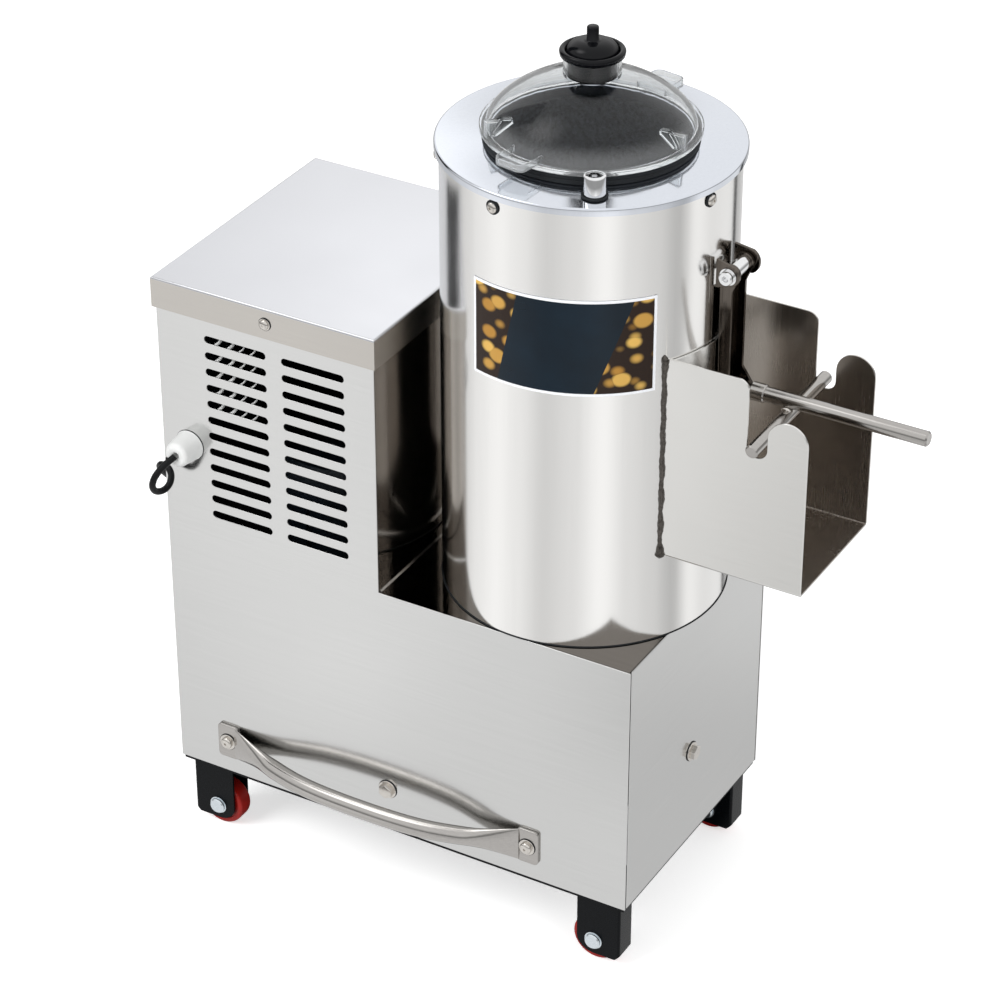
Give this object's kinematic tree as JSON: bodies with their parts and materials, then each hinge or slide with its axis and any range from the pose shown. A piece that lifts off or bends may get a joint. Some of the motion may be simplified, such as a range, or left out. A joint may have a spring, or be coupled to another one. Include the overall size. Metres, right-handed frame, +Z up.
{
  "type": "electric potato peeler",
  "caption": "Floor-standing potato peeler: steel body on castors, abrasive drum with clear lid, latched discharge chute, enclosed belt drive and mains lead.",
  "frame": {"origin": "on the floor under the middle of the whole machine, without its mains lead", "axes": "+X from the cabinet towards the discharge chute, +Y from the front with the pull handle to the back, +Z up"},
  "size_m": [0.7332, 0.4724, 0.9051],
  "materials": {
    "satin_steel": "satin sheet stainless steel",
    "polished_steel": "mirror-polished stainless steel",
    "chrome_steel": "bright plated or turned steel",
    "black_steel": "black paint, half gloss",
    "black_plastic": "gloss black plastic",
    "cord_jacket": "smooth black cord jacket",
    "clear_plastic": "clear moulded plastic",
    "red_plastic": "red moulded wheel, half gloss",
    "black_rubber": "black rubber",
    "abrasive": "coarse abrasive grit",
    "label_face": "printed sheet, dark blue field",
    "motor_paint": "blue-grey machine paint",
    "cast_iron": "machined casting",
    "white_plastic": "white moulded plastic"
  },
  "bodies": {
    "machine_body": {"base_frame": "black_steel", "bearing_housing": "cast_iron", "cabinet_lid": "satin_steel", "cable_gland": "white_plastic", "chute": "satin_steel", "deck_plate": "satin_steel", "drive_belt": "black_rubber", "drum_floor": "satin_steel", "drum_lining": "abrasive", "drum_screw_front": "chrome_steel", "drum_screw_left": "chrome_steel", "drum_screw_right": "chrome_steel", "drum_shell": "polished_steel", "front_bolt": "chrome_steel", "front_left_axle": "chrome_steel", "front_left_fork": "black_steel", "front_panel": "satin_steel", "front_right_axle": "chrome_steel", "front_right_fork": "black_steel", "handle_bolt_left": "chrome_steel", "handle_bolt_right": "chrome_steel", "hinge_bracket": "satin_steel", "hinge_pin": "chrome_steel", "label_plate": "label_face", "lead_coil": "cord_jacket", "lead_plug": "black_plastic", "lid_gasket": "black_rubber", "lid_post": "chrome_steel", "lid_screw": "chrome_steel", "lower_bearing": "chrome_steel", "mains_lead": "cord_jacket", "motor_body": "motor_paint", "motor_stand": "black_steel", "pull_handle": "satin_steel", "rear_left_axle": "chrome_steel", "rear_left_fork": "black_steel", "rear_right_axle": "chrome_steel", "rear_right_fork": "black_steel", "rear_wrap_panel": "satin_steel", "right_panel": "satin_steel", "side_bolt": "chrome_steel", "step_panel": "satin_steel", "top_ring": "polished_steel", "upper_bearing": "chrome_steel"},
    "door": {"door_plate": "satin_steel", "door_arm": "satin_steel", "latch_pin": "chrome_steel"},
    "latch_handle": {"handle_rod": "satin_steel", "cross_bar": "satin_steel"},
    "peeling_rotor": {"drive_shaft": "satin_steel", "driven_pulley": "cast_iron", "peeling_disc": "abrasive"},
    "motor_rotor": {"motor_shaft": "satin_steel", "drive_pulley": "cast_iron"},
    "lid": {"dome_lid": "clear_plastic"},
    "filler_plug": {"lid_plug": "black_plastic"},
    "front_left_roller": {"front_left_wheel": "red_plastic"},
    "front_right_roller": {"front_right_wheel": "red_plastic"},
    "rear_left_roller": {"rear_left_wheel": "red_plastic"},
    "rear_right_roller": {"rear_right_wheel": "red_plastic"}
  },
  "joints": [
    {"name": "latch_lift", "type": "hinge", "parent": "door", "child": "latch_handle", "pos_m": [0.177, 0.014, 0.58029], "axis": [0, -1, 0], "range_deg": [0, 50]},
    {"name": "door_swing", "type": "hinge", "parent": "machine_body", "child": "door", "pos_m": [0.1705, 0.014, 0.70629], "axis": [0, -1, 0], "range_deg": [0, 8.5]},
    {"name": "disc_spin", "type": "hinge", "parent": "machine_body", "child": "peeling_rotor", "pos_m": [0.024, 0.014, 0.26829], "axis": [0, 0, 1], "continuous": true},
    {"name": "motor_spin", "type": "hinge", "parent": "machine_body", "child": "motor_rotor", "pos_m": [-0.2385, 0.014, 0.16829], "axis": [0, 0, 1], "continuous": true},
    {"name": "lid_lift", "type": "slide", "parent": "machine_body", "child": "lid", "axis": [0, 0, 1], "range_m": [0, 0.15]},
    {"name": "plug_lift", "type": "slide", "parent": "lid", "child": "filler_plug", "axis": [0, 0, 1], "range_m": [0, 0.06]},
    {"name": "front_left_roll", "type": "hinge", "parent": "machine_body", "child": "front_left_roller", "pos_m": [-0.32, -0.1, 0.02429], "axis": [0, 1, 0], "continuous": true},
    {"name": "front_right_roll", "type": "hinge", "parent": "machine_body", "child": "front_right_roller", "pos_m": [0.108, -0.1, 0.02429], "axis": [0, 1, 0], "continuous": true},
    {"name": "rear_left_roll", "type": "hinge", "parent": "machine_body", "child": "rear_left_roller", "pos_m": [-0.32, 0.136, 0.02429], "axis": [0, 1, 0], "continuous": true},
    {"name": "rear_right_roll", "type": "hinge", "parent": "machine_body", "child": "rear_right_roller", "pos_m": [0.108, 0.136, 0.02429], "axis": [0, 1, 0], "continuous": true}
  ],
  "couplings": [
    {"joint": "door_swing", "follows": "latch_lift", "ratio": 0.17},
    {"joint": "motor_spin", "follows": "disc_spin", "ratio": 4}
  ]
}
